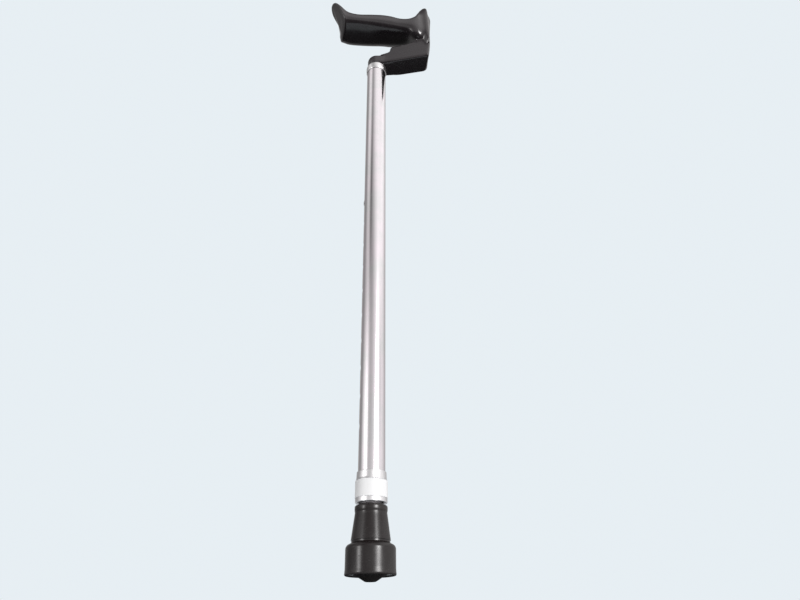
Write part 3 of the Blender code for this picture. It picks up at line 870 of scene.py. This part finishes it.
@dataclass
class Tubes:
    """The two tubes with their holes, the button, and what is inside."""

    wardrobe: Wardrobe
    outer_radius: float = 0.0111
    inner_radius: float = 0.0095
    wall: float = 0.0012
    outer_ends: Point = (0.0665, 0.5687)
    inner_ends: Point = (0.0120, 0.3840)
    top_hole: float = 0.3586
    pitch: float = 0.0267
    count: int = 10
    hole_radius: float = 0.0033
    button_radius: float = 0.0030
    button_proud: float = 0.0006

    def tube(self, name: str, radius: float, ends: Point, holes: int, tree: Tree) -> Item:
        """Return a tube with rounded ends and a row of holes."""
        outside, bore = radius / MM, (radius - self.wall) / MM
        bottom, top = ends[0] / MM, ends[1] / MM
        corners = [(outside, top), (outside, bottom), (bore, bottom), (bore, top)]
        profile = rounded_profile(corners, {index: 0.3 for index in range(4)}, 4)
        item = turned_object(name, profile, 96)
        drill = item.modifiers.new("height_holes", "NODES")
        drill.node_group = tree
        values = {"Count": holes, "Pitch": self.pitch, "Top": self.top_hole,
                  "Radius": self.hole_radius, "Tube Radius": radius,
                  "Finish": self.wardrobe.aluminium}
        for socket in tree.interface.items_tree:
            if socket.item_type == "SOCKET" and socket.in_out == "INPUT" and socket.name in values:
                drill[socket.identifier] = values[socket.name]
        bake(item)
        shade(item.data)
        return item

    def button(self) -> Item:
        """Return the snap button, domed outside and flanged inside."""
        dome = (self.outer_radius + self.button_proud) / MM
        radius = self.button_radius / MM
        profile = [(0.0, dome)]
        for step in range(1, 9):
            angle = step / 8 * pi / 2
            profile.append((radius * sin(angle), dome - 0.9 * (1 - cos(angle))))
        profile += [(radius, 6.9), (3.9, 6.9), (3.9, 5.9), (0.0, 5.9)]
        item = turned_object("snap_button_dome", profile, 48, closed=False)
        item.data.transform(Matrix.Rotation(-pi / 2, 4, "Y"))
        item.data.transform(Matrix.Translation((0.0, 0.0, self.top_hole)))
        return item

    def build(self) -> None:
        """Build and dress the tubes, the button and the pieces inside."""
        tree = hole_row_tree()
        outer = self.tube("upper_tube", self.outer_radius, self.outer_ends, self.count, tree)
        finish_piece(outer, self.wardrobe.aluminium, Body.UPPER, Slot.ALUMINIUM, "outer_tube")
        inner = self.tube("lower_tube", self.inner_radius, self.inner_ends, 1, tree)
        finish_piece(inner, self.wardrobe.aluminium, Body.LOWER, Slot.ALUMINIUM, "inner_tube")
        finish_piece(self.button(), self.wardrobe.steel, Body.BUTTON, Slot.SPRING_STEEL,
                     "snap_button")
        dress_node("inner_tube_bush", self.wardrobe.nylon)
        dress_node("button_spring", self.wardrobe.steel)


@dataclass
class Collars:
    """The trim ring under the handle, and the lock nut with its band, sleeve and collet."""

    wardrobe: Wardrobe
    ring_top: float = 568.7
    ring_height: float = 9.4
    nut_bottom: float = 56.0
    nut_top: float = 80.2
    band_bottom: float = 59.4
    band_top: float = 73.1

    def ring(self) -> Item:
        """Return the bright sleeve over the joint of tube and handle."""
        top, bottom = self.ring_top, self.ring_top - self.ring_height
        corners = [(11.3, top), (11.72, top), (12.1, top - 1.1), (12.1, bottom + 3.0),
                   (11.6, bottom + 0.35), (11.3, bottom)]
        profile = rounded_profile(corners, {1: 0.35, 2: 0.9, 3: 1.6, 4: 0.2}, 7)
        return turned_object("trim_ring", profile)

    def nut(self) -> Item:
        """Return the turned collar with its cone, recess and lower bead."""
        bottom, top = self.nut_bottom, self.nut_top
        low, high = self.band_bottom, self.band_top
        profile = [(11.55, top), (11.8, top - 0.08), (12.0, top - 0.4), (12.3, high + 1.4),
                   (12.45, high + 0.9), (12.66, high + 0.5), (12.75, high + 0.2), (12.66, high),
                   (12.55, high), (12.55, low), (12.78, low), (12.85, bottom + 2.4),
                   (12.85, bottom + 0.6)]
        profile += arc((12.4, bottom + 0.45), 0.45, 0, -90, 7)
        profile += [(10.3, bottom), (10.1, bottom + 0.2), (10.1, 58.7), (12.1, 63.5), (12.1, 75.3),
                    (11.3, 76.1), (11.3, top - 0.15)]
        return turned_object("lock_nut_collar", profile)

    def band(self) -> Item:
        """Return the white sleeve in the nut's recess."""
        top, bottom = self.band_top - 0.15, self.band_bottom + 0.15
        corners = [(13.1, top), (13.1, bottom), (12.7, bottom), (12.7, top)]
        profile = rounded_profile(corners, {0: 0.32, 1: 0.32}, 6)
        return turned_object("grip_band", profile)

    def build(self) -> None:
        """Build and dress the collars."""
        wardrobe = self.wardrobe
        finish_piece(self.ring(), wardrobe.trim, Body.UPPER, Slot.BRIGHT_TRIM, "handle_trim_ring")
        finish_piece(self.nut(), wardrobe.trim, Body.LOCK_NUT, Slot.BRIGHT_TRIM, "lock_nut")
        finish_piece(self.band(), wardrobe.nylon, Body.LOCK_NUT, Slot.WHITE_NYLON,
                     "nut_grip_band")
        dress_node("handle_cross_pin", wardrobe.steel)
        dress_node("thread_sleeve", wardrobe.aluminium)
        dress_node("lock_collet", wardrobe.nylon)


@dataclass
class Ferrule:
    """The rubber foot and the washer in it."""

    wardrobe: Wardrobe
    rim: float = 4.0
    lip: float = 54.0
    floor: float = 10.2
    bore: float = 9.8

    def profile(self) -> list[Point]:
        """Return the foot's profile, down the outside, along the sole and up the bore."""
        rim, lip = self.rim, self.lip
        bead = [(12.1, lip - 0.05), (12.5, lip - 0.2), (12.8, lip - 0.5), (12.96, lip - 0.9),
                (13.02, lip - 1.4), (13.04, lip - 2.2), (13.02, lip - 3.2), (12.94, lip - 4.0),
                (12.8, lip - 4.6), (12.72, lip - 5.0)]
        neck = [(12.7 + 2.7 * step / 8, lip - 5.4 - 19.9 * step / 8) for step in range(9)]
        groove = [(15.42, lip - 25.45), (15.34, lip - 25.6), (14.95, lip - 25.75),
                  (14.95, lip - 26.9), (15.2, lip - 27.15)]
        shoulder = arc((15.75, rim + 18.3), 3.6, 80, 0, 14)
        wall = [(19.33, rim + 5.0), (19.37, rim + 4.0), (19.45, rim + 3.0), (19.55, rim + 2.0),
                (19.6, rim + 1.1), (19.5, rim + 0.5), (19.2, rim + 0.12), (18.75, rim)]
        recess = [(18.3, rim + 0.1), (17.6, rim + 0.55), (16.8, rim + 1.0), (15.8, rim + 1.2),
                  (13.8, rim + 1.2), (12.9, rim + 0.9), (12.2, rim + 0.2), (11.9, rim)]
        boss = [(10.9, rim), (4.6, 0.28), (4.1, 0.04), (3.7, 0.0), (0.0, 0.0)]
        inside = [(0.0, self.floor), (self.bore, self.floor), (self.bore, lip - 0.9),
                  (self.bore + 0.35, lip - 0.25), (self.bore + 0.9, lip), (11.7, lip)]
        return bead + neck + groove + shoulder + wall + recess + boss + inside

    def build(self) -> None:
        """Build and dress the foot."""
        foot = turned_object("rubber_foot", self.profile())
        finish_piece(foot, self.wardrobe.rubber, Body.LOWER, Slot.BLACK_RUBBER, "ferrule")
        dress_node("ferrule_washer", self.wardrobe.steel)


@dataclass(frozen=True)
class SoftPanel:
    """A bright or dark patch of the room round the stick, with soft edges."""

    azimuth: float
    height: float
    half_width: float
    half_height: float
    level: float


@dataclass
class Studio:
    """The camera, the pale floor, the soft room round the stick and the backdrop.

    Angles are in degrees. Azimuth 0 is the camera's side, and 90 is to its right. The room is
    a ring of (azimuth, level), with panels on it. Each of dims fades it between two heights.
    """

    location: tuple = (0.0, -0.48003, -0.03551)
    right: tuple = (0.998912, -0.045069, -0.012017)
    up: tuple = (-0.012147, -0.500113, 0.865875)
    backward: tuple = (-0.045034, -0.864787, -0.500116)
    lens: float = 26.237
    sensor: float = 36.0
    floor_radius: float = 0.40
    floor_fade: float = 0.55
    floor_roughness: float = 0.9
    backdrop: Colour = (0.80, 0.86, 0.90)
    lamp: Colour = (1.0, 0.99, 0.99)
    room: tuple = (
        (-180, 0.45), (-150, 0.38), (-120, 0.28), (-105, 0.30), (-90, 0.42), (-75, 0.50),
        (-60, 0.45), (-48, 0.38), (-36, 0.38), (-20, 0.50), (0, 0.63), (20, 0.84), (35, 1.00),
        (50, 1.00), (65, 0.96), (80, 0.92), (95, 0.86), (110, 0.72), (130, 0.54), (145, 0.47),
        (160, 0.44), (180, 0.45))
    panels: tuple = tuple(SoftPanel(*row) for row in (
        (-80, 50, 20, 12, 0.30), (-62, 52, 12, 8, 0.25), (-74, 18, 24, 8, 0.50),
        (-43, 39, 14, 9, -0.30), (-16, 35, 14, 8, -0.15), (2, 52, 26, 12, 0.34),
        (80, 40, 24, 9, 0.16), (110, 50, 30, 12, 0.26), (69, 22, 14, 6, -0.26),
        (36, 12, 8, 8, 28.0), (-54, 8, 7, 7, 10.0), (40, 16, 24, 16, 0.30),
        (-52, 18, 18, 16, 0.60), (-8, 7, 22, 6, 0.16)))
    dims: tuple = ((-20.0, 5.0, 0.12, 1.0), (60.0, 80.0, 1.0, 0.3))

    def camera(self) -> None:
        """Set the camera where the photograph was taken from."""
        data = bpy.data.cameras.new("camera")
        data.sensor_width = self.sensor
        data.lens = self.lens
        data.clip_start = 0.01
        item = new_object("camera", data)
        turn = Matrix((self.right, self.up, self.backward)).transposed()
        item.matrix_world = Matrix.Translation(self.location) @ turn.to_4x4()
        bpy.context.scene.camera = item

    def floor(self) -> None:
        """Lay a pale round floor that the camera sees through from below."""
        form = bmesh.new()
        bmesh.ops.create_circle(form, cap_ends=True, segments=96, radius=self.floor_radius)
        item = new_object("floor", from_bmesh("floor", form))
        material, graph, shader, place = new_material("pale_floor", self.backdrop,
                                                      self.floor_roughness)
        clear = graph.add("ShaderNodeBsdfTransparent")
        under = graph.add("ShaderNodeNewGeometry").outputs["Backfacing"]
        reach = graph.add("ShaderNodeVectorMath", {0: place}, operation="LENGTH").outputs["Value"]
        edge = graph.fit(reach, self.floor_radius * self.floor_fade, self.floor_radius)
        gone = graph.math("MAXIMUM", under, edge)
        mix = graph.add("ShaderNodeMixShader", {0: gone, 1: shader.outputs[0], 2: clear.outputs[0]})
        graph.link(mix.outputs[0], material.node_tree.nodes["Material Output"], "Surface")
        item.data.materials.append(material)

    def around(self, graph: Graph, turn: Socket) -> Socket:
        """Return the room's plain brightness at an angle round the stick."""
        share = graph.math("MULTIPLY_ADD", turn, 1 / 360, 0.5)
        ramp = graph.add("ShaderNodeValToRGB", {0: share})
        ramp.color_ramp.interpolation = "CARDINAL"
        stops = ramp.color_ramp.elements
        while len(stops) < len(self.room):
            stops.new(0.5)
        for stop, (angle, level) in zip(stops, self.room):
            stop.position = (angle + 180) / 360
            stop.color = (level, level, level, 1.0)
        return ramp.outputs[0]

    @staticmethod
    def patch(graph: Graph, turn: Socket, rise: Socket, panel: SoftPanel) -> Socket:
        """Return how strongly one panel shows in a direction, from 0 to 1."""
        across = graph.math("DIVIDE", graph.math("SUBTRACT", turn, panel.azimuth), panel.half_width)
        upward = graph.math("DIVIDE", graph.math("SUBTRACT", rise, panel.height), panel.half_height)
        apart = graph.math("ADD", graph.math("MULTIPLY", across, across),
                           graph.math("MULTIPLY", upward, upward))
        return graph.math("EXPONENT", graph.math("MULTIPLY", apart, -1.0))

    def world(self) -> None:
        """Surround the stick with a soft room, dim below the horizon and overhead."""
        world = bpy.data.worlds.new("soft_room")
        world.use_nodes = True
        bpy.context.scene.world = world
        graph = Graph(world.node_tree)
        world.node_tree.nodes.clear()
        split = graph.split(graph.add("ShaderNodeTexCoord").outputs["Generated"])
        angle = graph.math("ARCTAN2", split["X"], graph.math("MULTIPLY", split["Y"], -1.0))
        turn = graph.math("MULTIPLY", angle, TO_DEGREES)
        rise = graph.math("MULTIPLY", graph.math("ARCSINE", split["Z"]), TO_DEGREES)
        level = self.around(graph, turn)
        for panel in self.panels:
            level = graph.total(level, (self.patch(graph, turn, rise, panel), panel.level))
        for dim in self.dims:
            level = graph.math("MULTIPLY", level, graph.fit(rise, *dim))
        room = graph.add("ShaderNodeBackground", {"Color": (*self.lamp, 1.0), "Strength": level})
        pale = graph.add("ShaderNodeBackground", {"Color": (*self.backdrop, 1.0), "Strength": 1.0})
        seen = graph.add("ShaderNodeLightPath").outputs["Is Camera Ray"]
        mix = graph.add("ShaderNodeMixShader", {0: seen, 1: room.outputs[0], 2: pale.outputs[0]})
        graph.link(mix.outputs[0], graph.add("ShaderNodeOutputWorld"), "Surface")

    def build(self) -> None:
        """Set up the whole studio."""
        self.camera()
        self.floor()
        self.world()
        bpy.context.scene.view_settings.view_transform = "Standard"


def main() -> None:
    """Build the stick piece by piece, and light it."""
    logging.basicConfig(level=logging.INFO, format="%(name)s: %(message)s")
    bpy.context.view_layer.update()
    Studio().build()
    wardrobe = Wardrobe()
    Tubes(wardrobe).build()
    Collars(wardrobe).build()
    PalmHandle(wardrobe).build()
    Ferrule(wardrobe).build()


if __name__ == "__main__":
    main()
